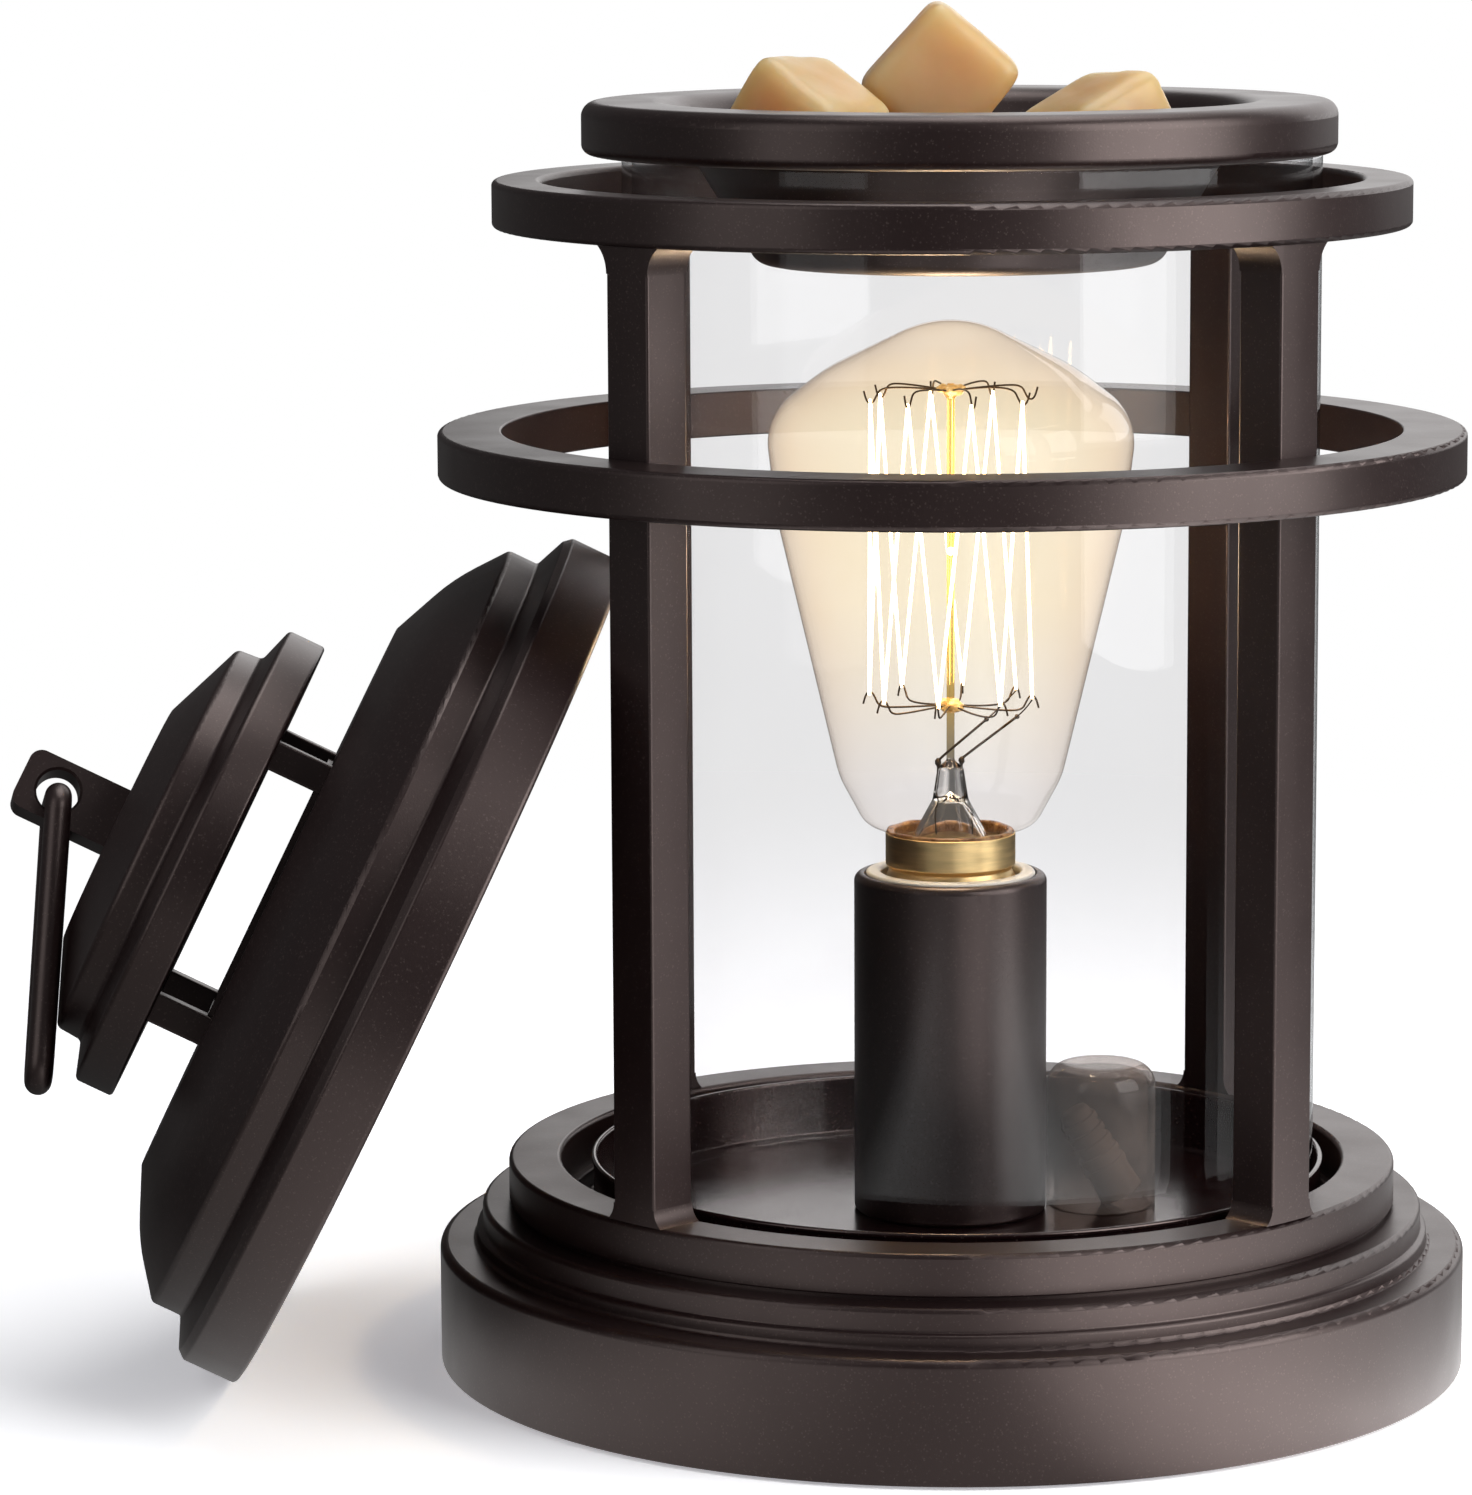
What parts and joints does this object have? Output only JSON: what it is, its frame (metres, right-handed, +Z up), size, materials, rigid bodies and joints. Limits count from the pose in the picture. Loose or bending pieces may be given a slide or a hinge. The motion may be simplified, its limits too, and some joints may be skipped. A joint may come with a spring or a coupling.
{
  "type": "electric wax warmer",
  "caption": "Lantern-shaped wax warmer: stepped base, ringed cage, glass chimney round a screw-in bulb, wax dish on top, and a domed lid with a lifting ring leaning at its side.",
  "frame": {"origin": "on the lantern's axis, on the surface it stands on", "axes": "+Z up along the lantern's axis, -Y towards the front, -X towards the lid that leans on the chimney"},
  "size_m": [0.29, 0.208, 0.2714],
  "materials": {
    "bronze_metal": "satin",
    "plain_steel": "satin",
    "brass": "satin",
    "solder": "satin",
    "hook_steel": "satin",
    "glowing_wire": "satin",
    "clear_glass": "gloss",
    "amber_glass": "gloss",
    "white_ceramic": "satin",
    "black_plastic": "matte",
    "smoky_plastic": "gloss",
    "connector_plastic": "matte",
    "lead_rubber": "matte",
    "wax": "satin",
    "pad_felt": "matte"
  },
  "bodies": {
    "base": {"base_pad": "pad_felt", "bottom_cover": "plain_steel", "base_shell": "bronze_metal", "cover_spacers": "plain_steel", "cover_screws": "plain_steel", "cage_screws": "plain_steel", "cord_bushing": "black_plastic", "lantern_collar": "bronze_metal", "post_front_left": "bronze_metal", "post_front_right": "bronze_metal", "post_back_left": "bronze_metal", "post_back_right": "bronze_metal", "middle_ring": "bronze_metal", "upper_ring": "bronze_metal", "drip_pan": "bronze_metal", "lampholder_sleeve": "bronze_metal", "lampholder_liner": "white_ceramic", "screw_shell": "brass", "centre_contact": "brass", "holder_cap": "plain_steel", "lamp_pipe": "plain_steel", "pipe_nuts": "plain_steel", "pipe_washer": "plain_steel", "terminal_block": "black_plastic", "lamp_leads": "lead_rubber", "clear_cover": "smoky_plastic", "wire_connector": "connector_plastic"},
    "bulb_screw": {"bulb_cap": "brass", "bulb_insulator": "black_plastic", "bulb_contact": "solder"},
    "bulb_turn": {"bulb_glass": "amber_glass", "bulb_stem": "clear_glass", "filament_hooks": "hook_steel", "filament": "glowing_wire", "bulb_leads": "hook_steel"},
    "chimney": {"glass_chimney": "clear_glass"},
    "dish": {"wax_dish": "bronze_metal", "wax_cube_left": "wax", "wax_cube_right": "wax", "wax_cube_top": "wax", "wax_cubes_low": "wax"},
    "lid": {"lid_shell": "bronze_metal", "lid_pillars": "bronze_metal", "lid_cap": "bronze_metal", "finial_lug": "bronze_metal", "lug_nut": "plain_steel"},
    "lid_ring": {"ring_handle": "bronze_metal"}
  },
  "joints": [
    {"name": "bulb_travel", "type": "slide", "parent": "base", "child": "bulb_screw", "axis": [0, 0, 1], "range_m": [0, 0.01]},
    {"name": "bulb_turn", "type": "hinge", "parent": "bulb_screw", "child": "bulb_turn", "pos_m": [0, 0, 0.12], "axis": [0, 0, 1], "range_deg": [0, 990]},
    {"name": "chimney_lift", "type": "slide", "parent": "base", "child": "chimney", "axis": [0, 0, 1], "range_m": [0, 0.215]},
    {"name": "dish_lift", "type": "slide", "parent": "chimney", "child": "dish", "axis": [0, 0, 1], "range_m": [0, 0.08]},
    {"name": "lid_away", "type": "slide", "parent": "base", "child": "lid", "axis": [-0.8984, 0, 0.4392], "range_m": [0, 0.12]},
    {"name": "ring_swing", "type": "hinge", "parent": "lid", "child": "lid_ring", "pos_m": [-0.1775, -0.01049, 0.11519], "axis": [0.1786, -0.9135, 0.3654], "range_deg": [-215, 0]}
  ],
  "couplings": [
    {"joint": "bulb_travel", "follows": "bulb_turn", "m_per_rad": 0.00057774}
  ]
}
